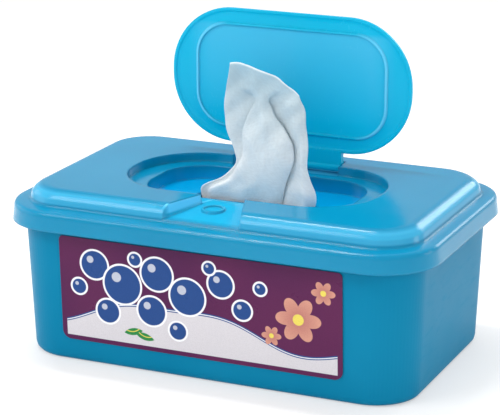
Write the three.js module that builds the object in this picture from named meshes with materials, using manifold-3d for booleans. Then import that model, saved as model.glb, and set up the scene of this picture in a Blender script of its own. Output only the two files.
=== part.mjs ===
// A wipes tub: a drafted plastic tub, a lift-off lid with a stepped recess, a flip lid on a pin
// hinge shown standing open, the folded stack inside and one wipe pulled up through the slot.
// Millimetres, +Z up. The origin is the centre of the base, and the front faces -Y.
import * as THREE from 'three';
import { mergeVertices } from 'three/addons/utils/BufferGeometryUtils.js';
import Module from 'manifold-3d';

const wasm = await Module();
wasm.setup();

// Driving sizes.
const gap = 0.3;
const wall = 1.8;

const rim = { length: 200, width: 128, radius: 27 };
const skirtBottom = 61.7;
const ledgeTop = 70.1;
const deckTop = 77.6;
const deckInset = { ends: 6.2, sides: 7.4, corners: 7 };
const deck = {
  length: rim.length - 2 * deckInset.ends,
  width: rim.width - 2 * deckInset.sides,
  radius: rim.radius - deckInset.corners,
};

const overhang = 5.25;
const tub = {
  length: rim.length - 2 * overhang,
  width: rim.width - 2 * overhang,
  radius: rim.radius - overhang,
};
const draft = 2.4;
const floorTop = 2;
const lipInset = 2.6;
const lipHeight = 2.5;
const tubTop = ledgeTop - wall - gap - 0.4;

const recess = { length: 121, width: 66, radius: 31, bottom: 73.5 };
const well = { length: 99, width: 52, radius: 20, bottom: 67 };
const slot = { length: 60, width: 9, radius: 4.4 };

const notchPastDeck = 1.4;
const notch = {
  centre: -1.6,
  frontHalf: 20.4,
  backHalf: 10.8,
  front: -(deck.width / 2 + notchPastDeck),
  back: 2 - recess.width / 2,
  frontFloor: ledgeTop + 1.3,
  taper: 1.6,
};
const boss = { x: notch.centre - 1.8, y: notch.back - 7.8, radius: 5.2, thick: 0.9, height: 0.8 };

const hingeBehindRecess = 5.8;
const hinge = {
  y: recess.width / 2 + hingeBehindRecess,
  z: deckTop - 2,
  tabHalf: 26,
  barrel: 1.9,
  pin: 1.15,
  pinReach: 2.4,
};
const sideClearance = 0.4;
const pinClearance = 0.3;

const flip = { length: 119.1, width: 63.7, radius: 30.5, thick: 2, rimDepth: 0.6, rimWidth: 1.3 };
const bead = { length: 95.5, width: 50, radius: 16, thick: 1.2, height: 0.8 };
const flipFrontGap = 1;

const stackSpace = { ends: 7.75, sides: 8.75 };
const stack = {
  length: tub.length - 2 * stackSpace.ends,
  width: tub.width - 2 * stackSpace.sides,
  radius: tub.radius - 7.5,
  height: 46,
  bands: 7,
};
const label = {
  left: -69.3,
  right: 65.1,
  bottom: 10.7,
  top: skirtBottom - 2.5,
  corner: 4,
  topCorner: 2,
  thick: 0.3,
};

const cornerSteps = 9;

// Turns a closed three.js geometry into a solid that can be joined and cut.
function solidOf(geometry) {
  geometry.deleteAttribute('normal');
  geometry.deleteAttribute('uv');
  const merged = mergeVertices(geometry, 1e-4);
  return new wasm.Manifold(new wasm.Mesh({
    numProp: 3,
    vertProperties: Float32Array.from(merged.attributes.position.array),
    triVerts: Uint32Array.from(merged.index.array),
  }));
}

// Turns a solid back into a geometry.
function geometryOf(solid) {
  const mesh = solid.getMesh();
  const geometry = new THREE.BufferGeometry();
  geometry.setAttribute('position', new THREE.BufferAttribute(mesh.vertProperties, 3));
  geometry.setIndex(new THREE.BufferAttribute(mesh.triVerts, 1));
  geometry.computeVertexNormals();
  return geometry;
}

// A rounded rectangle with a corner radius of 1, used as the pattern for every layered shape.
function patternShape() {
  const shape = new THREE.Shape();
  shape.moveTo(2, 1);
  shape.absarc(1, 1, 1, 0, Math.PI / 2, false);
  shape.absarc(-1, 1, 1, Math.PI / 2, Math.PI, false);
  shape.absarc(-1, -1, 1, Math.PI, 1.5 * Math.PI, false);
  shape.absarc(1, -1, 1, 1.5 * Math.PI, 2 * Math.PI, false);
  return shape;
}

// A closed solid through a stack of rounded rectangles, given from the lowest to the highest.
// Each section has a height z, its x and y ends and a corner radius.
function throughSections(sections, steps = cornerSteps) {
  const geometry = new THREE.ExtrudeGeometry(patternShape(), {
    depth: sections.length - 1,
    steps: sections.length - 1,
    curveSegments: steps,
    bevelEnabled: false,
  });
  const position = geometry.attributes.position;
  for (let i = 0; i < position.count; i += 1) {
    const at = sections[Math.round(position.getZ(i))];
    const place = (value, low, high) => {
      const side = Math.sign(value);
      const inner = (high - low) / 2 - at.radius;
      return (low + high) / 2 + side * (inner + at.radius * (Math.abs(value) - 1));
    };
    const x = place(position.getX(i), at.x[0], at.x[1]);
    const y = place(position.getY(i), at.y[0], at.y[1]);
    position.setXYZ(i, x, y, at.z);
  }
  return solidOf(geometry);
}

// Sections of one plan size, centred on x = 0 and y = centreY, from [height, inset] pairs.
function sectionsOf(size, profile, centreY = 0) {
  return profile.map(([z, inset]) => ({
    z,
    x: [inset - size.length / 2, size.length / 2 - inset],
    y: [centreY + inset - size.width / 2, centreY + size.width / 2 - inset],
    radius: size.radius - 0.55 * inset,
  }));
}

function layered(size, profile, centreY = 0, steps = cornerSteps) {
  return throughSections(sectionsOf(size, profile, centreY), steps);
}

// The same plan shape at every height between bottom and top, grown outwards by a margin.
function straight(size, bottom, top, margin = 0) {
  return layered(size, [[bottom, -margin], [top, -margin]]);
}

function box(x, y, z) {
  const geometry = new THREE.BoxGeometry(x[1] - x[0], y[1] - y[0], z[1] - z[0]);
  geometry.translate((x[0] + x[1]) / 2, (y[0] + y[1]) / 2, (z[0] + z[1]) / 2);
  return solidOf(geometry);
}

// A cylinder along X between two x positions.
function rod(radius, fromX, toX, y, z) {
  const geometry = new THREE.CylinderGeometry(radius, radius, toX - fromX, 24);
  geometry.rotateZ(-Math.PI / 2);
  geometry.translate((fromX + toX) / 2, y, z);
  return solidOf(geometry);
}

function joined(first, ...rest) {
  return rest.reduce((sum, next) => sum.add(next), first);
}

function cut(first, ...rest) {
  return rest.reduce((sum, next) => sum.subtract(next), first);
}

function named(name, geometry, color, roughness) {
  const material = new THREE.MeshStandardMaterial({ color, roughness, metalness: 0 });
  material.flatShading = true;
  const mesh = new THREE.Mesh(geometry, material);
  mesh.name = name;
  return mesh;
}

// The tub: a thin drafted wall with a rounded foot and a lip at the top that the lid sits over.
function makeTub() {
  const outside = layered(tub, [
    [0, draft + 2.5],
    [0.5, draft + 1.1],
    [1.6, draft + 0.25],
    [3.2, draft - 0.13],
    [skirtBottom, 0],
    [tubTop, 0],
  ]);
  const lip = layered(rim, [[tubTop - lipHeight, lipInset], [tubTop, lipInset]]);
  const inside = layered(tub, [
    [floorTop, draft + wall + 1.3],
    [floorTop + 0.9, draft + wall + 0.4],
    [floorTop + 3, draft + wall - 0.1],
    [skirtBottom, wall],
    [tubTop + 2, wall],
  ]);
  return cut(joined(outside, lip), inside);
}

// A prism between a four-sided floor and a four-sided top. Corners run front left, front right,
// back right, back left.
function prism(floor, top) {
  const pattern = [[-1, -1], [1, -1], [1, 1], [-1, 1]];
  const shape = new THREE.Shape(pattern.map(([x, y]) => new THREE.Vector2(x, y)));
  const geometry = new THREE.ExtrudeGeometry(shape, { depth: 1, steps: 1, bevelEnabled: false });
  const position = geometry.attributes.position;
  for (let i = 0; i < position.count; i += 1) {
    const corner = pattern.findIndex(([x, y]) => x * position.getX(i) > 0 && y * position.getY(i) > 0);
    const source = position.getZ(i) > 0.5 ? top : floor;
    position.setXYZ(i, ...source[corner]);
  }
  return solidOf(geometry);
}

// The thumb notch's hollow, grown by a margin. Its floor falls towards the front.
function notchHollow(margin, top) {
  const { centre, frontHalf, backHalf, front, back, frontFloor, taper } = notch;
  const low = (half, y, z) => [centre + half - taper + margin, y, z - margin];
  const high = (half, y) => [centre + half + margin, y, top];
  const mirror = ([x, y, z]) => [2 * centre - x, y, z];
  const lowFront = low(frontHalf, front, frontFloor);
  const lowBack = low(backHalf, back, recess.bottom);
  const highFront = high(frontHalf, front);
  const highBack = high(backHalf, back);
  return prism(
    [mirror(lowFront), lowFront, lowBack, mirror(lowBack)],
    [mirror(highFront), highFront, highBack, mirror(highBack)],
  );
}

// The lid: skirt, ledge, raised deck, stepped recess with a slot, thumb notch and hinge pocket.
const lidProfile = [
  [skirtBottom, -0.8],
  [ledgeTop - 1.7, -0.1],
  [ledgeTop - 0.7, 0.3],
  [ledgeTop - 0.2, 0.9],
  [ledgeTop, 1.6],
];
const deckProfile = [
  [ledgeTop + 0.3, 0],
  [ledgeTop + 0.9, 0.5],
  [deckTop - 3.6, 1.4],
  [deckTop - 2.1, 2.5],
  [deckTop - 0.8, 4.2],
  [deckTop - 0.2, 5.6],
  [deckTop, 7],
];

function makeLid() {
  const outside = throughSections([...sectionsOf(rim, lidProfile), ...sectionsOf(deck, deckProfile)]);
  const inwards = (profile) => profile.map(([z, inset]) => [z - wall, inset + wall]);
  const shell = cut(outside, throughSections([
    ...sectionsOf(rim, inwards(lidProfile)),
    ...sectionsOf(deck, inwards(deckProfile)),
  ]));
  const pocketHalf = hinge.tabHalf + sideClearance;
  const blockHalf = pocketHalf + hinge.pinReach + wall;
  const pocketY = [recess.width / 2 - 2, hinge.y + 4.3];
  const pocketFloor = hinge.z - hinge.barrel - 0.8;
  const cups = [
    straight(recess, recess.bottom - wall, deckTop - 0.5, wall),
    straight(well, well.bottom - wall, recess.bottom, wall),
    box([-blockHalf, blockHalf], [pocketY[0] - wall, pocketY[1] + wall], [pocketFloor - wall, deckTop - 0.4]),
    notchHollow(wall, deckTop - 0.5).intersect(outside),
  ];
  const studGeometry = new THREE.CylinderGeometry(boss.radius, boss.radius, boss.height + 1.5, 20);
  studGeometry.rotateX(Math.PI / 2);
  studGeometry.translate(boss.x, boss.y, recess.bottom - 0.5 + (boss.height - 1.5) / 2);
  const dimpleGeometry = new THREE.CylinderGeometry(boss.radius - boss.thick, boss.radius - boss.thick, 2, 20);
  dimpleGeometry.rotateX(Math.PI / 2);
  dimpleGeometry.translate(boss.x, boss.y, recess.bottom - 0.5 + boss.height + 0.3);
  const bore = hinge.pin + pinClearance;
  const boreEnd = pocketHalf + hinge.pinReach + gap;
  const opened = cut(
    joined(shell, ...cups),
    straight(recess, recess.bottom, deckTop + 5),
    straight(well, well.bottom, recess.bottom + 1),
    straight(slot, well.bottom - 5, well.bottom + 5),
    notchHollow(0, deckTop + 5),
    box([-pocketHalf, pocketHalf], pocketY, [pocketFloor, deckTop + 5]),
    rod(bore, -boreEnd, boreEnd, hinge.y, hinge.z),
  );
  return cut(joined(opened, solidOf(studGeometry)), solidOf(dimpleGeometry));
}

// The flip lid in its closed pose, measured from the hinge line: a shallow tray turned upside
// down, with a raised bead inside its rim and a tab that ends in a barrel with two pins.
function makeFlip() {
  const top = deckTop - hinge.z;
  const underside = top - flip.thick;
  const rimBottom = underside - flip.rimDepth;
  const centreY = flipFrontGap - recess.width / 2 + flip.width / 2 - hinge.y;
  const plate = cut(
    layered(flip, [[rimBottom, 0], [top - 1.1, 0], [top - 0.4, 0.3], [top, 1]], centreY),
    layered(flip, [
      [rimBottom - 1, flip.rimWidth],
      [underside - 0.5, flip.rimWidth],
      [underside - 0.2, flip.rimWidth + 0.5],
      [underside, flip.rimWidth + 1.8],
    ], centreY),
  );
  const ring = cut(
    layered(bead, [[underside - bead.height, 0.3], [underside - bead.height + 0.5, 0], [underside + 0.5, 0]],
      centreY),
    layered(bead, [
      [underside - bead.height - 1, bead.thick],
      [underside, bead.thick],
    ], centreY),
  );
  const plateBack = centreY + flip.width / 2;
  const tab = box([-hinge.tabHalf, hinge.tabHalf], [plateBack - flip.rimWidth, 0], [-1.2, hinge.barrel]);
  const barrel = rod(hinge.barrel, -hinge.tabHalf, hinge.tabHalf, 0, 0);
  const pinEnd = hinge.tabHalf + sideClearance + hinge.pinReach;
  return joined(plate, ring, tab, barrel, rod(hinge.pin, -pinEnd, pinEnd, 0, 0));
}

// The folded stack: rounded bands with shallow waists between them.
function makeStack() {
  const bottom = floorTop + gap;
  const step = stack.height / stack.bands;
  const profile = [[bottom, 1.5]];
  for (let i = 0; i < stack.bands; i += 1) {
    profile.push([bottom + (i + 0.25) * step, 0]);
    profile.push([bottom + (i + 0.75) * step, 0]);
    profile.push([bottom + (i + 1) * step, 1.5]);
  }
  return layered(stack, profile, 0, 5);
}

// The label: a thin panel with rounded corners that lies along the drafted front wall.
function makeLabel() {
  const { left, right, bottom, top, corner, topCorner } = label;
  const shape = new THREE.Shape();
  shape.moveTo(right, top - topCorner);
  shape.absarc(right - topCorner, top - topCorner, topCorner, 0, Math.PI / 2, false);
  shape.absarc(left + topCorner, top - topCorner, topCorner, Math.PI / 2, Math.PI, false);
  shape.absarc(left + corner, bottom + corner, corner, Math.PI, 1.5 * Math.PI, false);
  shape.absarc(right - corner, bottom + corner, corner, 1.5 * Math.PI, 2 * Math.PI, false);
  shape.closePath();
  return new THREE.ExtrudeGeometry(shape, { depth: label.thick, bevelEnabled: false, curveSegments: 6 });
}

// The wipe that stands up through the slot. Each row is height, left, right and half depth.
const wipeRows = [
  [floorTop + stack.height + 2 * gap, -20, 20, 2.5],
  [62, -25, 25, 2.5],
  [67.5, -26, 26.5, 2.6],
  [72, -22, 27, 5],
  [78, -15.5, 26, 7],
  [85, -9, 25, 8],
  [95, -11.5, 24, 8],
  [105, -14, 22.5, 8],
  [116, -15.5, 19.8, 7],
  [122, -14, 16.5, 6],
  [127, -13, 9, 4.5],
  [130.6, -11, 0, 3],
];

function makeWipe() {
  return throughSections(wipeRows.map(([z, left, right, half]) => ({
    z,
    x: [left, right],
    y: [-half, half],
    radius: half - 0.2,
  })), 6);
}

const object = new THREE.Group();
object.add(named('tub_body', geometryOf(makeTub()), 0x1f8fc0, 0.3));
object.add(named('lid', geometryOf(makeLid()), 0x3da5d5, 0.22));

const flipMesh = named('flip_lid', geometryOf(makeFlip()), 0x1aa6dc, 0.22);
flipMesh.position.set(0, hinge.y, hinge.z);
flipMesh.rotation.x = -Math.PI / 2;
object.add(flipMesh);

const frontAngle = Math.atan2(draft - 0.13, skirtBottom - 3.2);
const labelMesh = named('label', makeLabel(), 0x6e3566, 0.4);
labelMesh.position.set(0, -(tub.width / 2 - skirtBottom * Math.tan(frontAngle)) - gap, 0);
labelMesh.rotation.x = Math.PI / 2 + frontAngle;
object.add(labelMesh);

object.add(named('wipes_stack', geometryOf(makeStack()), 0xe6ecf0, 0.9));
object.add(named('pulled_wipe', geometryOf(makeWipe()), 0xe6ecf0, 0.9));

export default object;
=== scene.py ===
# %% [markdown]
# # A wipes tub with its flip lid open
#
# This lesson dresses a plastic wipes tub. The hard plastic pieces come from a CAD model, and the
# soft ones are built here: a wipe that stands up through the lid's slot, and the folded stack
# inside. It shows how to bend one grid into folded cloth, how to draw a printed label from a
# few formulas, and how to light glossy plastic so that its edges read.

import bpy
import numpy as np
from mathutils import Matrix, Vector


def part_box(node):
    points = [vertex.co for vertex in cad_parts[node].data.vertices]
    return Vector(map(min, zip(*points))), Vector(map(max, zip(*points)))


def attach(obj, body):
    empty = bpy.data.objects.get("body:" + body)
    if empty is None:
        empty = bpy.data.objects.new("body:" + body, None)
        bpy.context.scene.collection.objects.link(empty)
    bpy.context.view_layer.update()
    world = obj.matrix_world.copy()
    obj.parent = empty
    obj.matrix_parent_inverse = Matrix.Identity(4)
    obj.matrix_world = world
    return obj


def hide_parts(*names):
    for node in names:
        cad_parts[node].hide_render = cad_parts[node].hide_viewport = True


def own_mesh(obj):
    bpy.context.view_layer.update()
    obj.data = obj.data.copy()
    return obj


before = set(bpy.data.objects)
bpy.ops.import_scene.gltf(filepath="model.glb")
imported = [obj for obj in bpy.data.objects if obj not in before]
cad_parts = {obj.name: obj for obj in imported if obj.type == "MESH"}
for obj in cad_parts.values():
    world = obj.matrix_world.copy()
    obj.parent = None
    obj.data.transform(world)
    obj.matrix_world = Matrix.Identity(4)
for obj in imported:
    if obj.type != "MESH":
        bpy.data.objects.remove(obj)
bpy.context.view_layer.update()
print("CAD pieces:", sorted(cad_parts))

# %% [markdown]
# ## The camera
#
# The photograph was taken from the front right and a little above. A camera could be turned by
# hand until the picture fits, but a few pixels are hard to see by eye. So its angles, distance
# and focal length were solved from points that the photograph shows, and stand here as values.
# The focal length and the centre are given as pixels on a picture 500 wide.

# %% Place the camera
AZIMUTH, ELEVATION, ROLL = np.radians([24.06, 16.62, -0.1])
DISTANCE = 0.9524
TARGET = np.array([-0.0030, -0.0030, 0.0634])
FOCAL_PIXELS = 2109.3
CENTRE_PIXELS = (247.8, 209.7)
PICTURE = (500, 415)
SENSOR_WIDTH = 36.0


def camera_axes(azimuth, elevation, roll):
    """The camera's right, up and backward directions, turned about its own view line by roll."""
    back = np.array([
        np.sin(azimuth) * np.cos(elevation),
        -np.cos(azimuth) * np.cos(elevation),
        np.sin(elevation),
    ])
    right = np.array([np.cos(azimuth), np.sin(azimuth), 0.0])
    up = np.cross(back, right)
    turned_right = right * np.cos(roll) + up * np.sin(roll)
    turned_up = up * np.cos(roll) - right * np.sin(roll)
    return turned_right, turned_up, back


right, up, back = camera_axes(AZIMUTH, ELEVATION, ROLL)
place = TARGET + back * DISTANCE
camera = bpy.data.objects.new("camera", bpy.data.cameras.new("camera"))
camera.data.sensor_width = SENSOR_WIDTH
camera.data.lens = FOCAL_PIXELS / PICTURE[0] * SENSOR_WIDTH
camera.data.shift_x = (PICTURE[0] / 2 - CENTRE_PIXELS[0]) / PICTURE[0]
camera.data.shift_y = (CENTRE_PIXELS[1] - PICTURE[1] / 2) / PICTURE[0]
camera.matrix_world = Matrix([[*row, at] for row, at in zip(np.stack([right, up, back], 1), place)]
                             + [[0, 0, 0, 1]])
scene = bpy.context.scene
scene.collection.objects.link(camera)
scene.camera = camera
print("camera at", np.round(place, 3), "with a lens of", round(camera.data.lens, 1), "mm")

# %% [markdown]
# ## Surfaces from a grid of numbers
#
# Every new piece here is a sheet of points indexed by two numbers, u along a row and v from row
# to row. Points could be pushed about by hand, but a formula can be read and changed later. The
# whole grid is worked out at once with arrays, and the faces follow from the order of the
# points, so no loop walks over the points. The floor is the smallest such grid, with two rows.

# %% A mesh from a grid, and the floor
FLOOR_REACH = 3.0


def grid_mesh(name, points, wrap=False):
    """A mesh from points shaped (rows, columns, 3). With wrap, each row closes on itself.
    The faces look outwards when u turns anticlockwise seen from above and v climbs."""
    rows, columns, _ = points.shape
    index = np.arange(rows * columns).reshape(rows, columns)
    after = np.roll(index, -1, 1) if wrap else index[:, 1:]
    before = index if wrap else index[:, :-1]
    faces = np.stack([before[:-1], after[:-1], after[1:], before[1:]], -1).reshape(-1, 4)
    mesh = bpy.data.meshes.new(name)
    mesh.from_pydata(points.reshape(-1, 3).tolist(), [], faces.tolist())
    mesh.polygons.foreach_set("use_smooth", np.ones(len(faces), bool))
    mesh.update()
    obj = bpy.data.objects.new(name, mesh)
    scene.collection.objects.link(obj)
    print(name, "has", len(faces), "faces")
    return obj


floor_points = FLOOR_REACH * np.array([[[-1, -1, 0], [1, -1, 0]], [[-1, 1, 0], [1, 1, 0]]])
floor = grid_mesh("floor", floor_points)

# %% [markdown]
# ## Few words for many nodes
#
# A material in Blender is a graph of nodes. It could be wired in the shader editor, but a script
# can be read and run again. Most of these helpers add one node and give back its output, so that
# a formula in a material reads almost as it would on paper.

# %% Helpers for node trees
def new_material(name):
    """An empty node material with its tree, ready to be filled."""
    material = bpy.data.materials.new(name)
    material.use_nodes = True
    material.node_tree.nodes.clear()
    return material, material.node_tree


def node(tree, kind, settings=None, **inputs):
    """Adds one node, sets its properties, and sets or links each input given by socket name."""
    made = tree.nodes.new(kind)
    for key, value in (settings or {}).items():
        setattr(made, key, value)
    for key, value in inputs.items():
        socket = made.inputs[int(key[2:])] if key.startswith("in") else made.inputs[key.replace("_", " ")]
        if isinstance(value, bpy.types.NodeSocket):
            tree.links.new(value, socket)
        else:
            socket.default_value = value
    return made


def maths(tree, operation, *values):
    """A maths node on sockets or numbers, which gives back its output socket."""
    inputs = {f"in{i}": value for i, value in enumerate(values)}
    return node(tree, "ShaderNodeMath", {"operation": operation}, **inputs).outputs[0]


def product(tree, first, *others):
    """All the values multiplied. Of masks, it is the mask of where they all hold."""
    for value in others:
        first = maths(tree, "MULTIPLY", first, value)
    return first


def spread(tree, value, low, high, to_low=0.0, to_high=1.0):
    """A map range node from low..high to to_low..to_high, held within those ends."""
    return node(tree, "ShaderNodeMapRange", None, in0=value, in1=low, in2=high, in3=to_low,
                in4=to_high).outputs[0]


def grey(tree, value):
    """A grey colour from one value."""
    return node(tree, "ShaderNodeCombineColor", None, Red=value, Green=value, Blue=value).outputs[0]


def noise(tree, where, scale, detail):
    """The value of a noise texture at a place."""
    return node(tree, "ShaderNodeTexNoise", None, Vector=where, Scale=scale, Detail=detail).outputs["Fac"]


def dress(obj, material):
    """Puts one material on every slot of an object."""
    obj.data.materials.clear()
    obj.data.materials.append(material)


print("helpers for node trees: new_material, node, maths, product, spread, grey, noise and dress")

# %% [markdown]
# ## The floor
#
# In the photograph the tub stands on white, with hardly a shadow. Extra lamps could burn the
# floor to white, but they would wash out the blue as well. So the floor is pale paper with plain
# white mixed in: some of it near the tub, where the shadow has to stay, and all of it further
# out. The white is there for camera rays alone, so it throws no light back on the tub.

# %% Paper on the floor
FLOOR_FADE = (0.45, 0.90)
NEAR_WHITE = 0.4

paper, tree = new_material("floor")
where = node(tree, "ShaderNodeTexCoord").outputs["Object"]
tone = spread(tree, noise(tree, where, 9.0, 4.0), 0.3, 0.7, 0.93, 0.96)
matt = node(tree, "ShaderNodeBsdfPrincipled", None, Base_Color=grey(tree, tone), Roughness=0.9,
            Specular_IOR_Level=0.1)
away = node(tree, "ShaderNodeVectorMath", {"operation": "LENGTH"}, in0=where).outputs["Value"]
share = product(tree, spread(tree, away, *FLOOR_FADE, NEAR_WHITE, 1.0),
                node(tree, "ShaderNodeLightPath").outputs["Is Camera Ray"])
white = node(tree, "ShaderNodeEmission", None, Color=(1.0, 1.0, 1.0, 1.0), Strength=1.0)
blend = node(tree, "ShaderNodeMixShader", None, in0=share, in1=matt.outputs[0], in2=white.outputs[0])
node(tree, "ShaderNodeOutputMaterial", None, Surface=blend.outputs[0])
dress(floor, paper)
print("paper that is plain white from", FLOOR_FADE[1], "m outwards")

# %% [markdown]
# ## The white room
#
# The room's white walls light the tub from all sides. A real backdrop could stand behind it, but
# a world shader needs no geometry. It is white where the camera looks past the tub, and for light
# that comes through cloth. For all other light, scattered or mirrored, it is a softer grey, or
# the gloss of the lid would wash its blue out.

# %% The world
ROOM_GREY, ROOM_WHITE = 0.64, 1.0

world = bpy.data.worlds.new("studio")
scene.world = world
world.use_nodes = True
tree = world.node_tree
tree.nodes.clear()
path = node(tree, "ShaderNodeLightPath")
seen = maths(tree, "MAXIMUM", path.outputs["Is Camera Ray"], path.outputs["Is Transmission Ray"])
strength = spread(tree, seen, 0.0, 1.0, ROOM_GREY, ROOM_WHITE)
background = node(tree, "ShaderNodeBackground", None, Color=(1.0, 1.0, 1.0, 1.0), Strength=strength)
node(tree, "ShaderNodeOutputWorld", None, Surface=background.outputs[0])
scene.view_settings.view_transform = "Standard"
print("room of strength", ROOM_WHITE, "for the camera and", ROOM_GREY, "for scattered light")

# %% [markdown]
# ## The lamps
#
# Glossy plastic shows its form by what it mirrors. One strong lamp would leave one hard glint,
# so large soft lamps are used. A key from the upper left, one in front, a fill and one overhead
# give the light. Of these only the key shows in the gloss. Four more stand where slopes and
# walls of the lid mirror them: one at the left, one behind, one at the right, and a narrow strip
# above, which rounded edges that face forwards turn into thin pale lines.

# %% Soft lamps
def area_light(name, place, aim, size, watts, colour=(1.0, 1.0, 1.0), in_gloss=True):
    """A rectangular light at a place, turned to look at aim. It lies in the plane across the
    line from aim to place, with its width level."""
    data = bpy.data.lights.new(name, "AREA")
    data.shape = "RECTANGLE"
    data.size, data.size_y = size
    data.energy = watts
    data.color = colour
    lamp = bpy.data.objects.new(name, data)
    away = np.array(place, float) - np.array(aim, float)
    away /= np.linalg.norm(away)
    side = np.cross([0.0, 0.0, 1.0], away)
    side /= np.linalg.norm(side)
    top = np.cross(away, side)
    lamp.matrix_world = Matrix([[*row, at] for row, at in zip(np.stack([side, top, away], 1), place)]
                               + [[0, 0, 0, 1]])
    lamp.visible_glossy = in_gloss
    scene.collection.objects.link(lamp)


area_light("key", (-0.9, -1.0, 1.3), (0, 0, 0.05), (0.8, 0.6), 10.4, (1.0, 0.99, 0.97))
area_light("front", (0.2, -1.5, 0.45), (0, 0, 0.09), (1.2, 0.7), 4.0, (1.0, 0.995, 0.985), False)
area_light("fill", (1.3, -0.7, 0.7), (0, 0, 0.05), (0.9, 0.9), 3.5, (0.97, 0.985, 1.0), False)
area_light("overhead", (0.1, 0.5, 1.4), (0, 0, 0.05), (1.4, 0.9), 7.0, in_gloss=False)
area_light("left_wall", (-1.5, -0.15, 0.52), (0, 0, 0.07), (1.8, 0.7), 5.0)
area_light("back_wall", (0.45, 1.50, 0.70), (0, 0, 0.07), (0.7, 0.5), 5.0)
area_light("right_side", (1.5, 0.70, 0.33), (0, 0, 0.07), (0.5, 0.4), 2.2)
area_light("strip", (-0.34, 0.10, 1.30), (-0.34, 0.099, 0.0), (0.48, 0.12), 7.0)

# %% [markdown]
# ## The wipe that stands in the slot
#
# The next wipe is pulled up through the slot and stands by its own dampness. Cloth could be
# simulated, but a run would have to find these very folds and then hold the cloth upright. So
# the folds are drawn level by level.
#
# Seen from above, each height of the wipe is one open line: it starts behind, turns round the
# left edge, passes under the front fold, swells forward as that fold, dives under it again, and
# turns round the right edge to the back. The tables give, in millimetres, where the edges and
# the front fold are at each height and how far they stand out to the front and the back.

# %% Tables of the wipe over its height
MM = 0.001
WIPE_FOOT, SLOT_LEVEL = 49.0, 67.0
WIPE_HEIGHTS = np.array([
    49.0, 62.0, 67.0, 71.8, 75.0, 79.0, 84.5, 89.8,
    95.7, 99.6, 106.8, 110.5, 115.3, 120.0, 125.0, 131.0,
])
LEFT_EDGE = np.array([
    -20.0, -25.0, -27.2, -27.6, -18.5, -14.0, -9.2, -11.2,
    -13.6, -14.6, -15.9, -16.0, -15.4, -14.4, -13.4, -12.6,
])
RIGHT_EDGE = np.array([
    20.0, 25.0, 26.8, 27.6, 26.8, 25.0, 24.0, 23.9,
    23.7, 23.5, 22.7, 22.2, 20.8, 18.9, 17.0, 14.0,
])
FOLD_LEFT = np.array([
    -17.0, -21.0, -22.5, -22.0, -14.0, -10.0, -6.6, -4.6,
    -5.0, -5.3, -3.2, -1.3, 1.6, 2.8, 1.8, 1.8,
])
FOLD_RIGHT = np.array([
    9.0, 11.0, 12.0, 13.0, 14.0, 15.2, 17.2, 19.0,
    18.2, 15.9, 10.8, 8.3, 5.4, 4.2, 4.0, 4.0,
])
FOLD_DEPTH = np.array([
    0.6, 0.8, 2.2, 3.6, 4.3, 4.9, 5.3, 5.5,
    5.4, 5.0, 4.0, 3.1, 1.6, 0.5, 0.0, 0.0,
])
BACK_DEPTH = np.array([
    1.6, 2.0, 2.2, 3.6, 4.2, 4.8, 5.4, 5.8,
    6.0, 6.0, 5.8, 5.4, 4.6, 3.6, 2.6, 1.6,
])
HEM_GUIDES = np.array([125.5, 128.0, 129.6, 130.5, 129.9, 128.6, 127.2, 125.3, 121.8, 117.5, 121.0])
TABLE_BLUR = (-1.8, -0.9, 0.0, 0.9, 1.8)


def at_height(values, z):
    """A table's value at each height z: straight lines between its entries, averaged over a
    few heights close by, which rounds the corners off."""
    return np.mean([np.interp(z + shift, WIPE_HEIGHTS, values) for shift in TABLE_BLUR], 0)


print("tables of", len(WIPE_HEIGHTS), "heights and", len(HEM_GUIDES), "guides along the hem")

# %% [markdown]
# ## One smooth line through a few guides
#
# A line of cloth has no corners, yet only a few of its points matter. A Bezier curve object
# could join them, but here the same line is needed at every height at once. So each point of
# the line is a weighted sum of the guide points near it, and the weights are the same table of
# numbers at every height.

# %% The weights of a spline, and two other curves
def spline_shares(guides, samples):
    """How much each guide point counts at each sample, as a (samples, guides) table.
    Between two guides it is the cubic that passes through both and leaves each in the direction
    of the line between its neighbours."""
    t = np.linspace(0, guides - 1 - 1e-9, samples)
    k = t.astype(int)
    f = t - k
    weights = np.stack([
        -0.5 * f + f**2 - 0.5 * f**3,
        1 - 2.5 * f**2 + 1.5 * f**3,
        0.5 * f + 2 * f**2 - 1.5 * f**3,
        -0.5 * f**2 + 0.5 * f**3,
    ], 1)
    shares = np.zeros((samples, guides))
    for step in range(4):
        np.add.at(shares, (np.arange(samples), np.clip(k + step - 1, 0, guides - 1)), weights[:, step])
    return shares


def smooth_step(value, low, high):
    """0 at low, 1 at high, and an S-shaped curve between them. Low may be the larger number."""
    t = np.clip((value - low) / (high - low), 0.0, 1.0)
    return t * t * (3 - 2 * t)


def hump(value, middle, width):
    """1 in the middle and falling off to both sides as a bell does."""
    return np.exp(-(((value - middle) / width) ** 2))


print("the weights add up to", np.round(spline_shares(len(HEM_GUIDES), 5).sum(1), 6))

# %% [markdown]
# ## The wipe's surface
#
# Eleven guides carry the cloth's line round at each height. Where the front fold ends, near the
# top, the guides move over to places that share the width about evenly. Small creases could be
# sculpted, but sines are easier to change. They are added last: pleats where the slot gathers
# the cloth, one standing ridge down the front fold, and the slanting waves of damp cloth.

# %% Points of the wipe
FOLD_OPENS = (120.0, 113.0)
CORNER_HANGS = (81.0, 73.0)
TUCK_SHARE = 0.26
PLEATS, PLEAT_HEIGHT, PLEAT_FADE = 15, 0.55, 11
PLEAT_RISE = (62, 69)
RIDGE_X, RIDGE_WIDTH, RIDGE_HEIGHT = 5.8, 1.7, 0.8
RIDGE_RISE, RIDGE_FALL = (82, 92), (116, 108)
WAVE_RISE = (70, 84)


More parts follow.
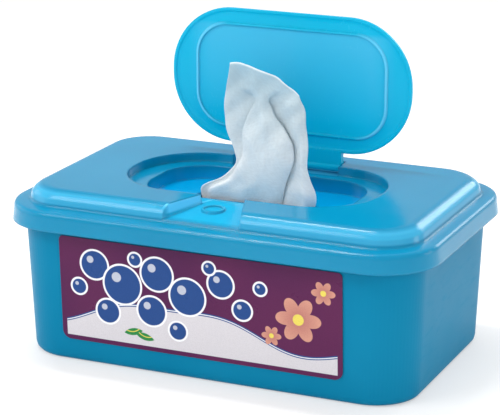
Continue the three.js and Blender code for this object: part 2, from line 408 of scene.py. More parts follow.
def wipe_points(columns=190, rows=130):
    """Points of the standing wipe in metres, shaped (rows, columns, 3).
    Height: from inside the tub up to the hem, whose height changes along the wipe.
    Across: the guides' x and y at that height, weighted by the spline's shares.
    Creases: sines that run along the cloth's width, its height or aslant, faded in and out."""
    shares = spline_shares(len(HEM_GUIDES), columns)
    u = np.linspace(0, 1, columns)[None, :]
    v = np.linspace(0, 1, rows)[:, None]
    z = WIPE_FOOT + v * ((shares @ HEM_GUIDES)[None, :] - WIPE_FOOT)
    left, right = at_height(LEFT_EDGE, z), at_height(RIGHT_EDGE, z)
    fold_left, fold_right = at_height(FOLD_LEFT, z), at_height(FOLD_RIGHT, z)
    bulge, behind = at_height(FOLD_DEPTH, z), at_height(BACK_DEPTH, z)
    middle, wide = 0.5 * (left + right), right - left
    tuck = TUCK_SHARE * bulge
    folded = smooth_step(z, *FOLD_OPENS)
    single = 1 - folded
    flap = smooth_step(z, *CORNER_HANGS)

    guide_x = [
        middle + 2.5,
        left + 0.22 * wide,
        left,
        folded * (fold_left + tuck) + single * (left + 0.17 * wide),
        folded * fold_left + single * (left + 0.33 * wide),
        folded * 0.5 * (fold_left + fold_right) + single * (left + 0.49 * wide),
        folded * fold_right + single * (left + 0.65 * wide),
        folded * (fold_right - tuck) + single * (left + 0.79 * wide),
        folded * (right - 0.18 * (right - fold_right) - 0.4) + single * (left + 0.92 * wide),
        right,
        middle + 1.0,
    ]
    guide_y = [
        0.85 * behind,
        0.80 * behind,
        0.10 * behind,
        0.05 * behind - 0.1 * bulge - 0.6 * single,
        -0.62 * bulge - 0.3 - 1.2 * single,
        -1.0 * bulge - 0.4 - 1.5 * single,
        -0.62 * bulge - 0.3 - 1.2 * single,
        0.12 * behind - 0.1 * bulge - 0.8 * single,
        -0.38 * behind * folded - 0.5 - 2.2 * flap,
        0.15 * behind + 1.2 * flap,
        1.0 * behind,
    ]
    x = sum(shares[None, :, k] * guide for k, guide in enumerate(guide_x))
    y = sum(shares[None, :, k] * guide for k, guide in enumerate(guide_y))

    gather = np.exp(-np.clip(z - SLOT_LEVEL, 0, None) / PLEAT_FADE) * smooth_step(z, *PLEAT_RISE)
    y = y + gather * PLEAT_HEIGHT * np.sin(2 * np.pi * (PLEATS * u + 0.6 * np.sin(5 * u)))
    ridge = hump(x + 0.05 * (z - 100), RIDGE_X, RIDGE_WIDTH) * hump(u, 0.5, 0.07)
    y = y - RIDGE_HEIGHT * ridge * smooth_step(z, *RIDGE_RISE) * smooth_step(z, *RIDGE_FALL)
    soft = smooth_step(z, *WAVE_RISE)
    y = y + soft * 0.42 * np.sin(0.33 * (z - 1.3 * x) + 2.1 * np.sin(0.11 * z))
    y = y + soft * 0.30 * np.sin(0.52 * (x + 0.45 * z) + 1.4)
    x = x + soft * 0.25 * np.sin(0.4 * z + 9 * u)
    return np.stack([x, y, z], -1) * MM


points = wipe_points()[:, ::-1]
wipe = grid_mesh("standing_wipe", points)
print("the wipe stands up to", round(points[..., 2].max() / MM, 1), "mm above the table")

# %% [markdown]
# ## Measured cloth
#
# The weave has to follow the cloth round its folds. An unwrap could flatten the mesh, but the
# grid already knows its own lengths: the distance walked along each row and each column is the
# map. The same distances give how near each point is to a cut edge, and the size of the cloth
# when it lies flat. A Solidify modifier gives it its thickness.

# %% Map, hem and thickness of the wipe
CLOTH_THICKNESS = 0.00035


def cloth_lengths(points):
    """Distances along each row and each column of a grid, as two arrays like the grid."""
    across = np.linalg.norm(np.diff(points, axis=1), axis=-1)
    along = np.linalg.norm(np.diff(points, axis=0), axis=-1)
    across = np.pad(np.cumsum(across, 1), ((0, 0), (1, 0)))
    along = np.pad(np.cumsum(along, 0), ((1, 0), (0, 0)))
    return across, along


across, along = cloth_lengths(points)
loops = np.zeros(len(wipe.data.loops), int)
wipe.data.loops.foreach_get("vertex_index", loops)
cloth_map = wipe.data.uv_layers.new(name="cloth")
cloth_map.data.foreach_set("uv", np.stack([across, along], -1).reshape(-1, 2)[loops].ravel())
to_hem = np.minimum(np.minimum(across, across[:, -1:] - across), along[-1:] - along)
wipe.data.attributes.new("hem", "FLOAT", "POINT").data.foreach_set("value", to_hem.ravel())
thickness = wipe.modifiers.new("thickness", "SOLIDIFY")
thickness.thickness = CLOTH_THICKNESS
thickness.offset = 0.0
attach(wipe, "lid")
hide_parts("pulled_wipe")

# %% [markdown]
# ## The folded stack
#
# Under the lid lie the folded wipes, one on the other. Eighty thin sheets could be stacked, but
# from outside only the rounded folds along the side can be seen. So one closed surface shows
# them: rows climb the side of the stack, where every fold is a small bulge, and then close over
# the top.

# %% The stack's surface
STACK_MARGIN = 0.0012
LAYER_BULGE = 0.0013
LAYER_SHIFT = 0.0006
TOP_DOME = 0.0009
TOP_INSET = 0.985
TOP_SPARE = 0.001
CORNER_POWER = 9
ROWS_PER_LAYER = 6
TOP_ROWS = 25


def stack_points(columns=220, layers=18):
    """Points of the folded stack in metres, one ring of a rounded rectangle per row.
    Ring: a superellipse, where the ninth powers of x and y, each over its half size, add up to 1.
    Side: each layer is half a circle's bulge, shifted a little along x and y so that the layers
    don't line up. Top: rings that close towards the middle, which is raised a little."""
    low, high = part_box("wipes_stack")
    half = np.array([(high[0] - low[0]) / 2, (high[1] - low[1]) / 2]) - STACK_MARGIN
    angle = np.linspace(0, 2 * np.pi, columns, endpoint=False)
    direction = np.stack([np.cos(angle), np.sin(angle)], -1)
    powers = (np.abs(direction) / half) ** CORNER_POWER
    ring = direction / (powers.sum(1) ** (1 / CORNER_POWER))[:, None]

    def row(outline, level):
        return np.column_stack([outline, np.full(columns, level)])

    thick = (high[2] - low[2] - TOP_SPARE) / layers
    top = low[2] + layers * thick
    rows = [row(ring * share, low[2]) for share in (0.0, 0.5, 0.9)]
    for layer in range(layers):
        shift = LAYER_SHIFT * np.array([np.sin(2.3 * layer), np.cos(3.1 * layer)])
        for p in np.arange(ROWS_PER_LAYER) / ROWS_PER_LAYER:
            inset = LAYER_BULGE * (1 - np.sqrt(np.clip(1 - (2 * p - 1)**2, 0, 1)))
            rows.append(row(ring * (1 - inset / half) + shift, low[2] + (layer + p) * thick))
    for share in 1 - np.arange(1, TOP_ROWS + 1) / TOP_ROWS:
        rows.append(row(ring * share * TOP_INSET, top + TOP_DOME * (1 - share**4)))
    return np.array(rows)


stack = grid_mesh("folded_stack", stack_points(), wrap=True)
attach(stack, "tub")
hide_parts("wipes_stack")

# %% [markdown]
# ## One recipe for several materials
#
# Some recipes are needed in more than one material. The nodes could be wired again each time, but
# a change would then have to be made in every copy. A node group is wired once, has sockets for
# what differs, and is placed like any other node.

# %% Helpers for node groups
def mixed(tree, share, first, second, blend="MIX"):
    """A colour mix node: share 0 gives the first colour and share 1 the second."""
    made = tree.nodes.new("ShaderNodeMix")
    made.data_type = "RGBA"
    made.blend_type = blend
    for index, value in ((0, share), (6, first), (7, second)):
        if isinstance(value, bpy.types.NodeSocket):
            tree.links.new(value, made.inputs[index])
        else:
            made.inputs[index].default_value = value
    return made.outputs[2]


def new_group(name, inputs, outputs):
    """A node group with its interface made: (socket type, name, default) for each socket."""
    group = bpy.data.node_groups.new(name, "ShaderNodeTree")
    for in_out, rows in (("INPUT", inputs), ("OUTPUT", outputs)):
        for kind, label, default in rows:
            made = group.interface.new_socket(name=label, in_out=in_out, socket_type=kind)
            if default is not None:
                made.default_value = default
    return group, group.nodes.new("NodeGroupInput"), group.nodes.new("NodeGroupOutput")


def use_group(tree, group, **inputs):
    """Places a node group in a tree and sets or links its inputs."""
    return node(tree, "ShaderNodeGroup", {"node_tree": group}, **inputs)


def give_out(group, result, **values):
    """Links values to a group's outputs by name."""
    for label, value in values.items():
        group.links.new(value, result.inputs[label])


print("helpers for node groups: mixed, new_group, use_group and give_out")

# %% [markdown]
# ## Moulded plastic
#
# The tub, the lid and the flip lid are moulded from the same glossy blue plastic. Each could
# have a material of its own, but what they share is worth writing once: a colour that drifts
# slightly, a roughness broken up by faint handling marks, and a normal with a soft moulded
# ripple. A Bevel node goes in below the ripple, so every edge catches a thin line of light as a
# real moulding does, with no new faces.

# %% The shared plastic group
def plastic_group():
    """Colour, roughness and normal of glossy moulded plastic, read from Object coordinates.
    Colour: the base, going over to the pale one by slow noise. Roughness: the base plus
    stretched fine noise and a slow haze. Normal: an edge-rounding normal under a shallow bump
    of slow waves and fine grain."""
    group, given, result = new_group(
        "moulded_plastic",
        [("NodeSocketColor", "Base", (0.1, 0.4, 0.8, 1)), ("NodeSocketColor", "Pale", (0.3, 0.7, 0.9, 1)),
         ("NodeSocketFloat", "Gloss roughness", 0.2), ("NodeSocketFloat", "Ripple", 0.1),
         ("NodeSocketFloat", "Edge", 0.0006)],
        [("NodeSocketColor", "Color", None), ("NodeSocketFloat", "Roughness", None),
         ("NodeSocketVector", "Normal", None)],
    )
    where = node(group, "ShaderNodeTexCoord").outputs["Object"]
    share = spread(group, noise(group, where, 16.0, 2.0), 0.35, 0.7, 0.0, 0.6)
    colour = mixed(group, share, given.outputs["Base"], given.outputs["Pale"])
    stretched = node(group, "ShaderNodeMapping", None, Vector=where, Rotation=(0.3, 0.2, 0.5),
                     Scale=(900.0, 90.0, 400.0)).outputs[0]
    marks = spread(group, noise(group, stretched, 1.0, 3.0), 0.55, 0.8, 0.0, 0.09)
    haze = spread(group, noise(group, where, 45.0, 3.0), 0.4, 0.75, 0.0, 0.06)
    rough = maths(group, "ADD", maths(group, "ADD", given.outputs["Gloss roughness"], marks), haze)
    rounded = node(group, "ShaderNodeBevel", {"samples": 6}, Radius=given.outputs["Edge"]).outputs[0]
    grain = maths(group, "MULTIPLY", noise(group, where, 2600.0, 2.0), 0.05)
    relief = maths(group, "ADD", noise(group, where, 60.0, 1.0), grain)
    bump = node(group, "ShaderNodeBump", None, Strength=given.outputs["Ripple"], Distance=0.0008,
                Height=relief, Normal=rounded).outputs[0]
    give_out(group, result, Color=colour, Roughness=rough, Normal=bump)
    return group


PLASTIC = plastic_group()
print("plastic group with", len(PLASTIC.nodes), "nodes")

# %% [markdown]
# ## Where the lid looks deeper or paler
#
# Light bounces about between the walls of a hollow and comes out bluer, the notch's left wall shows a bright
# reflection, and the slope round the deck looks paler than the deck. The renderer finds part of this by
# itself. The rest is painted light: vertex paint could give it, but the moulding's mesh is too coarse for it.
# So masks are worked out from the lid's own sizes in metres, and each lays a colour of painted light over the
# plastic: painted bounce light in the well, a painted reflection in the thumb notch, and a painted highlight
# on the notch's left wall and on the slope. Each pair of numbers is the two ends of one soft edge.

# %% Masks on the lid
RECESS_ENDS, RECESS_SIDES = (0.0600, 0.0630), (0.0325, 0.0345)
WELL_RISE = (0.0672, 0.0725)
NOTCH_HALF, NOTCH_FRONT, NOTCH_BACK = (0.0235, 0.0245), (-0.0545, -0.0515), (-0.010, 0.0)
NOTCH_RISE = (0.0736, 0.0778)
WALL_LEAN, WALL_MIDDLE, WALL_HALF = 0.3556, -0.00090, (0.0008, 0.0011)
WALL_FOOT, WALL_TOP = (0.0729, 0.0738), (0.0771, 0.0775)
SLOPE_FOOT, SLOPE_TOP = (0.0714, 0.0722), (0.0762, 0.0772)


def rising(tree, value, ends):
    """A mask that is 0 below the first end, 1 above the second and a ramp between them."""
    return spread(tree, value, *ends)


def falling(tree, value, ends):
    """A mask that is 1 below the first end, 0 above the second and a ramp between them."""
    return spread(tree, value, *ends, 1.0, 0.0)


def object_axes(tree):
    """The x, y and z of Object coordinates, as three sockets."""
    where = node(tree, "ShaderNodeTexCoord").outputs["Object"]
    return node(tree, "ShaderNodeSeparateXYZ", None, Vector=where).outputs


def lid_masks_group():
    """Four masks from Object coordinates, each for one colour of painted light. Well is 1 on the floor of the
    lid's well and fades up its walls: painted bounce light. Notch is 1 down in the thumb notch: a painted
    reflection. The third is 1 on the notch's left wall, near the slanting line that it follows from front to
    back: a painted highlight. Slope is 1 on the slope round the deck, between two heights, and in neither of
    the hollows: a painted highlight from the white room."""
    group, given, result = new_group(
        "lid_masks", [], [("NodeSocketFloat", label, None) for label in ("Well", "Notch", "Thin", "Slope")])
    x, y, z = object_axes(group)
    beside = maths(group, "ABSOLUTE", x)
    recess = product(group, falling(group, beside, RECESS_ENDS),
                     falling(group, maths(group, "ABSOLUTE", y), RECESS_SIDES))
    notch = product(group, falling(group, beside, NOTCH_HALF), rising(group, y, NOTCH_FRONT),
                    falling(group, y, NOTCH_BACK))
    neither = maths(group, "SUBTRACT", 1.0, maths(group, "MAXIMUM", recess, notch))
    wall = maths(group, "MULTIPLY_ADD", y, WALL_LEAN, WALL_MIDDLE)
    from_wall = maths(group, "ABSOLUTE", maths(group, "SUBTRACT", x, wall))
    give_out(
        group, result,
        Well=product(group, recess, falling(group, z, WELL_RISE)),
        Notch=product(group, notch, falling(group, z, NOTCH_RISE)),
        Thin=product(group, notch, falling(group, from_wall, WALL_HALF), rising(group, z, WALL_FOOT),
                     falling(group, z, WALL_TOP)),
        Slope=product(group, neither, rising(group, z, SLOPE_FOOT), falling(group, z, SLOPE_TOP)),
    )
    return group


LID_MASKS = lid_masks_group()
print("lid masks with", len(LID_MASKS.nodes), "nodes")

# %% [markdown]
# ## Where the flip lid looks paler
#
# The middle of the flip lid is a thin plate, and its upper half is painted paler: painted light. The raised
# bead round it gets a pale line at both ends, a painted highlight. The bead is real geometry, but so low that
# a picture this size barely shows it. It could be made higher, which would be wrong from the side. So a mask
# helps: the distance to the bead's outline, which is a rounded rectangle.

# %% Masks on the flip lid
PANEL_RISE, PANEL_TOP, PANEL_ENDS = (0.096, 0.132), (0.1375, 0.1395), (0.040, 0.052)
BEAD_MIDDLE_Z = 0.11455
BEAD_HALF = (0.04775, 0.0250)
BEAD_RADIUS = 0.016
BEAD_THICK = 0.0012
BEAD_ENDS = (0.0, 0.010)


def flip_masks_group():
    """Two masks from Object coordinates, each for painted light. Panel is 1 in the upper middle of the open
    flip lid and fades downwards and at the sides: ramps up z and out along x, multiplied; there the colour is
    painted paler. Bead is 1 on both ends of the raised bead, where a highlight is painted. There the distance
    to the bead's middle line is small: the length of how far x and z lie past the corner's centre, less the
    corner's radius."""
    group, given, result = new_group(
        "flip_masks", [], [("NodeSocketFloat", label, None) for label in ("Panel", "Bead")])
    x, _, z = object_axes(group)
    beside = maths(group, "ABSOLUTE", x)
    above = maths(group, "ABSOLUTE", maths(group, "SUBTRACT", z, BEAD_MIDDLE_Z))
    past_x = maths(group, "SUBTRACT", beside, BEAD_HALF[0] - BEAD_RADIUS)
    past_z = maths(group, "SUBTRACT", above, BEAD_HALF[1] - BEAD_RADIUS)
    out_x, out_z = maths(group, "MAXIMUM", past_x, 0.0), maths(group, "MAXIMUM", past_z, 0.0)
    squares = maths(group, "ADD", product(group, out_x, out_x), product(group, out_z, out_z))
    distance = maths(group, "SUBTRACT", maths(group, "SQRT", squares), BEAD_RADIUS - BEAD_THICK / 2)
    band = falling(group, maths(group, "ABSOLUTE", distance), (0.35 * BEAD_THICK, 0.75 * BEAD_THICK))
    give_out(
        group, result,
        Panel=product(group, rising(group, z, PANEL_RISE), falling(group, beside, PANEL_ENDS),
                      falling(group, z, PANEL_TOP)),
        Bead=product(group, band, rising(group, past_x, BEAD_ENDS)),
    )
    return group


FLIP_MASKS = flip_masks_group()
print("flip masks with", len(FLIP_MASKS.nodes), "nodes")

# %% [markdown]
# ## Three blues
#
# The tub is duller and darker than the lid, and the flip lid is the brightest: its paler blue is partly
# painted light. A Principled shader gives the gloss, and a little subsurface light gives the milky depth that
# polypropylene has. The CAD pieces arrive with flat faces. Smooth shading alone would smear their real
# corners, so an Edge Split modifier keeps those, and weighted normals keep flat walls flat.

# %% Plastic on the hard pieces
def plastic(name, base, pale, rough, ripple, edge, specular, masks=None, inks=()):
    """A plastic material around the shared group. A little light scatters inside the wall. Each output of the
    masks group lays its own colour of painted light over both colours, in turn."""
    material, tree = new_material(name)
    shares = use_group(tree, masks).outputs if masks else None
    for label, ink in inks:
        base = mixed(tree, shares[label], base, ink)
        pale = mixed(tree, shares[label], pale, ink)
    surface = use_group(tree, PLASTIC, Base=base, Pale=pale, Gloss_roughness=rough, Ripple=ripple, Edge=edge)
    shader = node(tree, "ShaderNodeBsdfPrincipled", None, Base_Color=surface.outputs["Color"],
                  Roughness=surface.outputs["Roughness"], Normal=surface.outputs["Normal"],
                  IOR=1.49, Specular_IOR_Level=specular, Subsurface_Weight=0.12,
                  Subsurface_Radius=(0.2, 0.6, 1.0), Subsurface_Scale=0.004)
    node(tree, "ShaderNodeOutputMaterial", None, Surface=shader.outputs[0])
    return material


def soften(obj, degrees=32):
    """Smooth shading on a CAD piece: faces that meet at a small angle share their normals, and
    large faces count for more than small ones."""
    obj.data.polygons.foreach_set("use_smooth", np.ones(len(obj.data.polygons), bool))
    edges = obj.modifiers.new("sharp edges", "EDGE_SPLIT")
    edges.split_angle = np.radians(degrees)
    edges.use_edge_sharp = False
    normals = obj.modifiers.new("even normals", "WEIGHTED_NORMAL")
    normals.keep_sharp = True
    normals.weight = 60


blues = {
    "tub_body": plastic("tub_plastic", (0.000, 0.175, 0.320, 1), (0.004, 0.205, 0.360, 1),
                        rough=0.36, ripple=0.10, edge=0.0010, specular=0.06),
    "lid": plastic("lid_plastic", (0.000, 0.210, 0.380, 1), (0.006, 0.240, 0.420, 1),
                   rough=0.15, ripple=0.03, edge=0.0014, specular=0.25, masks=LID_MASKS,
                   # painted light: bounce light in the well, a reflection in the notch, highlights on the
                   # notch's left wall and on the slope
                   inks=[("Slope", (0.035, 0.340, 0.560, 1)), ("Well", (0.000, 0.315, 0.620, 1)),
                         ("Notch", (0.012, 0.360, 0.600, 1)), ("Thin", (0.100, 0.560, 0.860, 1))]),
    # the flip lid's blue is paler than the lid's, partly painted light
    "flip_lid": plastic("flip_plastic", (0.000, 0.420, 0.640, 1), (0.010, 0.460, 0.690, 1),
                        rough=0.20, ripple=0.04, edge=0.0009, specular=0.13, masks=FLIP_MASKS,
                        # painted light: a paler upper panel and a highlight on the bead's ends
                        inks=[("Panel", (0.045, 0.450, 0.680, 1)), ("Bead", (0.120, 0.570, 0.820, 1))]),
}
for name, material in blues.items():
    dress(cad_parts[name], material)
    soften(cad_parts[name])
print("plastic on", ", ".join(blues))

# %% [markdown]
# ## Ink in round shapes
#
# The label is printed paper on the front wall. A picture could be wrapped on it, but a drawing
# from formulas stays sharp at any size. It is drawn in x and z, both in millimetres. A shape is
# a number that is 1 inside and 0 outside, with a soft edge about 0.2 mm wide. Most of its shapes
# are discs or overlaps of two discs, so the disc is a group that is placed many times.

# %% The disc group and the inks
SOFT_EDGE = 0.12


def disc_group():
    """How far inside a disc a point is: 1 inside, 0 outside. It is the radius less the distance
    from the centre, which Pythagoras gives, spread over the soft edge."""
    group, given, result = new_group(
        "disc",
        [("NodeSocketFloat", label, 0.0) for label in ("X", "Z", "Centre x", "Centre z", "Radius")],
        [("NodeSocketFloat", "Mask", None)],
    )
    dx = maths(group, "SUBTRACT", given.outputs["X"], given.outputs["Centre x"])
    dz = maths(group, "SUBTRACT", given.outputs["Z"], given.outputs["Centre z"])
    squares = maths(group, "ADD", product(group, dx, dx), product(group, dz, dz))
    inside = maths(group, "SUBTRACT", given.outputs["Radius"], maths(group, "SQRT", squares))
    give_out(group, result, Mask=rising(group, inside, (-SOFT_EDGE, SOFT_EDGE)))
    return group


DISC = disc_group()
PURPLE = (0.093, 0.013, 0.065, 1)
DEEP_PURPLE = (0.062, 0.009, 0.058, 1)
CREAM = (0.560, 0.540, 0.570, 1)
WHITE = (0.760, 0.770, 0.800, 1)
NAVY = (0.014, 0.056, 0.205, 1)
GREEN = (0.020, 0.200, 0.050, 1)
YELLOW = (0.680, 0.560, 0.100, 1)
PEACH = (0.560, 0.270, 0.200, 1)
ROSE = (0.400, 0.150, 0.130, 1)
print("disc group with", len(DISC.nodes), "nodes")

# %% [markdown]
# ## What is printed where
#
# A violet field stands above a pale one, with a wavy line between them. Over these come bubbles, a pair of
# leaves and three flowers. They could be strewn by chance, but on a label each shape is placed one by one. So
# lists give their places and sizes in millimetres: x, z and a radius, or for a leaf the side that it leans
# to.

# %% The label's places
BUBBLES = [
    (-52.0, 47.5, 6.4), (-38.5, 40.0, 8.8), (-21.5, 47.0, 7.4), (-7.0, 38.5, 8.2), (9.0, 46.5, 5.8),
    (-46.0, 26.5, 5.4), (-24.5, 29.5, 6.6), (19.0, 36.0, 4.2), (-60.0, 36.5, 3.4), (-12.0, 22.0, 4.0),
    (3.6, 53.2, 2.6), (-32.0, 52.5, 2.8), (27.5, 47.0, 2.6),
]
BUBBLE_LINE = 0.9
LEAVES = [(-35.0, 18.6, 1.0), (-27.0, 17.0, -1.0)]
LEAF_RADIUS, LEAF_OFFSET, LEAF_SKEW = 7.4, 5.6, 2.5
VEIN_RADII = (5.9, 5.5)
FLOWERS = [(45.0, 35.5, 10.5), (56.5, 49.0, 5.5), (32.5, 26.5, 4.6)]
PETAL_PAIRS, PETAL_SHARE, HEART_SHARE = 3.0, 0.42, 0.24
WAVE_LEVEL = 25.5
SWING, SWING_TURN, SWING_START = 6.5, 0.046, 2.2
RIPPLE, RIPPLE_TURN = 1.6, 0.11
WAVE_LINES = ((1.5, NAVY), (0.9, WHITE), (0.5, NAVY), (0.0, CREAM))
PALE_LEFT, PALE_RIGHT, PALE_FOOT = (-67.0, -66.8), (62.7, 62.9), (12.68, 12.92)
print(len(BUBBLES), "bubbles,", len(LEAVES), "leaves and", len(FLOWERS), "flowers")

# %% [markdown]
# ## The printed label
#
# Thin shapes could be laid on the panel as meshes, but surfaces that lie so close show through
# one another. So each shape's mask mixes its ink over the colour that is there already, in turn,
# as a press lays ink on ink. Fine dots and a faint scuff tell the print from plain plastic.

# %% Draw the label
def label_material():
    """The printed panel. Wave: two sines in x added to a level. Bubble: a pale disc, a navy disc
    and a glint. Leaf: where two discs overlap, with the band between two others as its vein.
    Flower: inside a radius that swells and shrinks with the cosine of the angle."""
    material, tree = new_material("label_print")
    where = node(tree, "ShaderNodeTexCoord").outputs["Object"]
    parts = node(tree, "ShaderNodeSeparateXYZ", None, Vector=where).outputs
    x = maths(tree, "MULTIPLY", parts["X"], 1000.0)
    z = maths(tree, "MULTIPLY", parts["Z"], 1000.0)

    def disc(cx, cz, radius):
        return use_group(tree, DISC, X=x, Z=z, Centre_x=cx, Centre_z=cz, Radius=radius).outputs[0]

    def over(mask, ink, below):
        return mixed(tree, mask, below, ink)

    def sine(turn, start, size):
        angle = maths(tree, "ADD", maths(tree, "MULTIPLY", x, turn), start)
        return maths(tree, "MULTIPLY", maths(tree, "SINE", angle), size)

    colour = mixed(tree, spread(tree, noise(tree, where, 14.0, 2.0), 0.35, 0.65), DEEP_PURPLE, PURPLE)

    wave = maths(tree, "ADD", sine(SWING_TURN, SWING_START, SWING), sine(RIPPLE_TURN, 0.0, RIPPLE))
    over_wave = maths(tree, "SUBTRACT", z, maths(tree, "ADD", wave, WAVE_LEVEL))
    pale = product(tree, rising(tree, x, PALE_LEFT), falling(tree, x, PALE_RIGHT), rising(tree, z, PALE_FOOT))
    for offset, ink in WAVE_LINES:
        below = falling(tree, over_wave, (offset - SOFT_EDGE, offset + SOFT_EDGE))
        colour = over(product(tree, below, pale), ink, colour)

    for cx, cz, radius in BUBBLES:
        glint = disc(cx - 0.32 * radius, cz + 0.36 * radius, 0.26 * radius)
        colour = over(disc(cx, cz, radius + BUBBLE_LINE), WHITE, colour)
        colour = over(disc(cx, cz, radius), NAVY, colour)
        colour = over(product(tree, glint, 0.55), WHITE, colour)

    for cx, cz, lean in LEAVES:
        upper = cz + LEAF_OFFSET
        leaf = product(tree, disc(cx, upper, LEAF_RADIUS),
                       disc(cx + LEAF_SKEW * lean, cz - LEAF_OFFSET, LEAF_RADIUS))
        vein = maths(tree, "SUBTRACT", disc(cx, upper, VEIN_RADII[0]), disc(cx, upper, VEIN_RADII[1]))
        colour = over(leaf, GREEN, colour)
        colour = over(product(tree, leaf, vein), YELLOW, colour)

    for cx, cz, size in FLOWERS:
        dx, dz = maths(tree, "SUBTRACT", x, cx), maths(tree, "SUBTRACT", z, cz)
        turn = maths(tree, "MULTIPLY", maths(tree, "ARCTAN2", dz, dx), PETAL_PAIRS)
        away = maths(tree, "SQRT", maths(tree, "ADD", product(tree, dx, dx), product(tree, dz, dz)))
        petal = maths(tree, "ABSOLUTE", maths(tree, "COSINE", turn))
        edge = maths(tree, "MULTIPLY_ADD", petal, PETAL_SHARE * size, (1 - PETAL_SHARE) * size)
        inside = rising(tree, maths(tree, "SUBTRACT", edge, away), (-SOFT_EDGE, SOFT_EDGE))
        tint = mixed(tree, rising(tree, away, (0.1 * size, size)), ROSE, PEACH)
        colour = over(inside, tint, colour)
        colour = over(disc(cx, cz, HEART_SHARE * size), YELLOW, colour)

    dots = node(tree, "ShaderNodeTexVoronoi", None, Vector=where, Scale=2200.0).outputs["Distance"]
    dots = spread(tree, dots, 0.2, 0.6, 0.94, 1.03)
    colour = mixed(tree, 1.0, colour, grey(tree, dots), "MULTIPLY")
    scuff = noise(tree, where, 70.0, 4.0)
    rough = spread(tree, scuff, 0.3, 0.7, 0.26, 0.38)
    bump = node(tree, "ShaderNodeBump", None, Strength=0.12, Distance=0.0004, Height=scuff).outputs[0]
    shader = node(tree, "ShaderNodeBsdfPrincipled", None, Base_Color=colour, Roughness=rough, Normal=bump,
                  IOR=1.5, Specular_IOR_Level=0.15)
    node(tree, "ShaderNodeOutputMaterial", None, Surface=shader.outputs[0])
    return material


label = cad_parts["label"]
dress(label, label_material())
soften(label)
print("label drawn with", len(label.data.materials[0].node_tree.nodes), "nodes")

# %% [markdown]
# ## Damp cloth
#
# A wipe is a felt of fine fibres pressed with a small grid of dots. Threads could be modelled,
# but at this size only their shading shows. So a group gives colour and normal from any
# coordinate in metres: the wipe hands it its own map, and the stack its Object coordinates.

# %% The pressed cloth group
DOT_PITCH = 0.0024


def cloth_group():
    """Colour and normal of pressed fibre cloth. Fibres: two noises stretched along and across.
    Dots: the product of two sines, which repeats every 2.4 mm and is pressed into the fibres."""
    group, given, result = new_group(
        "pressed_cloth",
        [("NodeSocketVector", "Where", (0, 0, 0)), ("NodeSocketColor", "Base", (0.8, 0.85, 0.9, 1))],
        [("NodeSocketColor", "Color", None), ("NodeSocketVector", "Normal", None)],
    )
    where = given.outputs["Where"]
    across = node(group, "ShaderNodeMapping", None, Vector=where, Scale=(900.0, 220.0, 500.0)).outputs[0]
    along = node(group, "ShaderNodeMapping", None, Vector=where, Scale=(240.0, 1100.0, 500.0)).outputs[0]
    fibres = maths(group, "ADD", noise(group, across, 1.0, 3.0), noise(group, along, 1.0, 3.0))
    parts = node(group, "ShaderNodeSeparateXYZ", None, Vector=where)
    turns = 2 * np.pi / DOT_PITCH
    waves = [maths(group, "SINE", maths(group, "MULTIPLY", parts.outputs[axis], turns)) for axis in "XY"]
    dots = rising(group, product(group, *waves), (0.1, 0.8))
    relief = maths(group, "SUBTRACT", fibres, maths(group, "MULTIPLY", dots, 0.8))
    tone = grey(group, spread(group, fibres, 0.7, 1.3, 0.94, 1.03))
    colour = mixed(group, 1.0, given.outputs["Base"], tone, "MULTIPLY")
    bump = node(group, "ShaderNodeBump", None, Strength=0.25, Distance=0.0003, Height=relief).outputs[0]
    give_out(group, result, Color=colour, Normal=bump)
    return group


CLOTH = cloth_group()
print("cloth group with", len(CLOTH.nodes), "nodes")

# %% [markdown]
# ## The wipe and the stack
#
# Light passes through a single layer of cloth, so the standing wipe mixes in a Translucent
# shader. The stack, which is thick, takes none of it. Towards its top the wipe is one layer deep,
# and the blue lid shows through. A Transparent shader could do that, with more rays to follow.
# Here the colour itself goes over to a darker, bluish one with height: painted light for the lid seen
# through. The cut hem gets a painted highlight, a paler band along the cloth's edges.

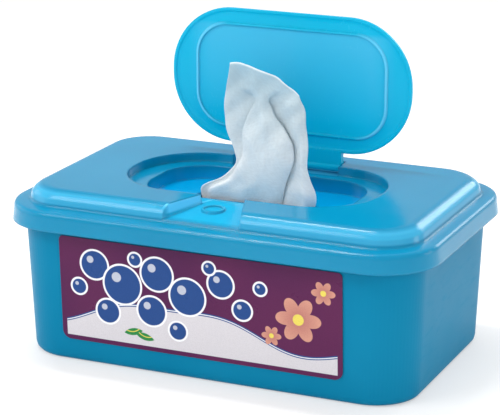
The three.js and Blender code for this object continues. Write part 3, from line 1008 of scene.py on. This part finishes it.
# %% Cloth on the soft pieces
# Painted light on the wipe: the heights over which it turns to the painted top colour, and the width, share
# and colour of the painted hem highlight.
PAINTED_TOP_FROM = (0.090, 0.128)
HEM_WIDTH = (0.0003, 0.0011)
HEM_HIGHLIGHT_SHARE = 0.8
HEM_HIGHLIGHT = (0.93, 0.95, 0.96, 1)
WIPE_COLOUR, WIPE_PAINTED_TOP = (0.89, 0.92, 0.93, 1), (0.45, 0.61, 0.69, 1)
STACK_COLOUR = (0.78, 0.84, 0.88, 1)


def cloth(material, tree, where, shade, through):
    """Fills a material with cloth and gives it back. The group's colour and normal go to a soft
    shader and to one that lets light through, and the share called through mixes the two."""
    surface = use_group(tree, CLOTH, Where=where, Base=shade)
    front = node(tree, "ShaderNodeBsdfPrincipled", None, Base_Color=surface.outputs["Color"], Roughness=0.75,
                 Normal=surface.outputs["Normal"], Specular_IOR_Level=0.3, Sheen_Weight=0.15)
    behind = node(tree, "ShaderNodeBsdfTranslucent", None, Color=surface.outputs["Color"],
                  Normal=surface.outputs["Normal"])
    blend = node(tree, "ShaderNodeMixShader", None, in0=through, in1=front.outputs[0], in2=behind.outputs[0])
    node(tree, "ShaderNodeOutputMaterial", None, Surface=blend.outputs[0])
    return material


def wipe_material():
    """Cloth that goes from its own colour to a darker, bluer one with height, painted light for the lid seen
    through, and has a painted highlight at the hem.
    """
    material, tree = new_material("wipe_cloth")
    spots = node(tree, "ShaderNodeTexCoord")
    level = node(tree, "ShaderNodeSeparateXYZ", None, Vector=spots.outputs["Object"]).outputs["Z"]
    hem = node(tree, "ShaderNodeAttribute", {"attribute_name": "hem"}).outputs["Fac"]
    # painted light: darker and bluer towards the top
    shade = mixed(tree, rising(tree, level, PAINTED_TOP_FROM), WIPE_COLOUR, WIPE_PAINTED_TOP)
    # painted highlight along the cloth's cut edges
    shade = mixed(tree, spread(tree, hem, *HEM_WIDTH, HEM_HIGHLIGHT_SHARE, 0.0), shade, HEM_HIGHLIGHT)
    return cloth(material, tree, spots.outputs["UV"], shade, 0.35)


def stack_material():
    """Cloth of one colour, too thick for light to pass."""
    material, tree = new_material("stack_cloth")
    return cloth(material, tree, node(tree, "ShaderNodeTexCoord").outputs["Object"], STACK_COLOUR, 0.0)


dress(wipe, wipe_material())
dress(stack, stack_material())
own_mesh(wipe)
print("cloth on the wipe and the stack")
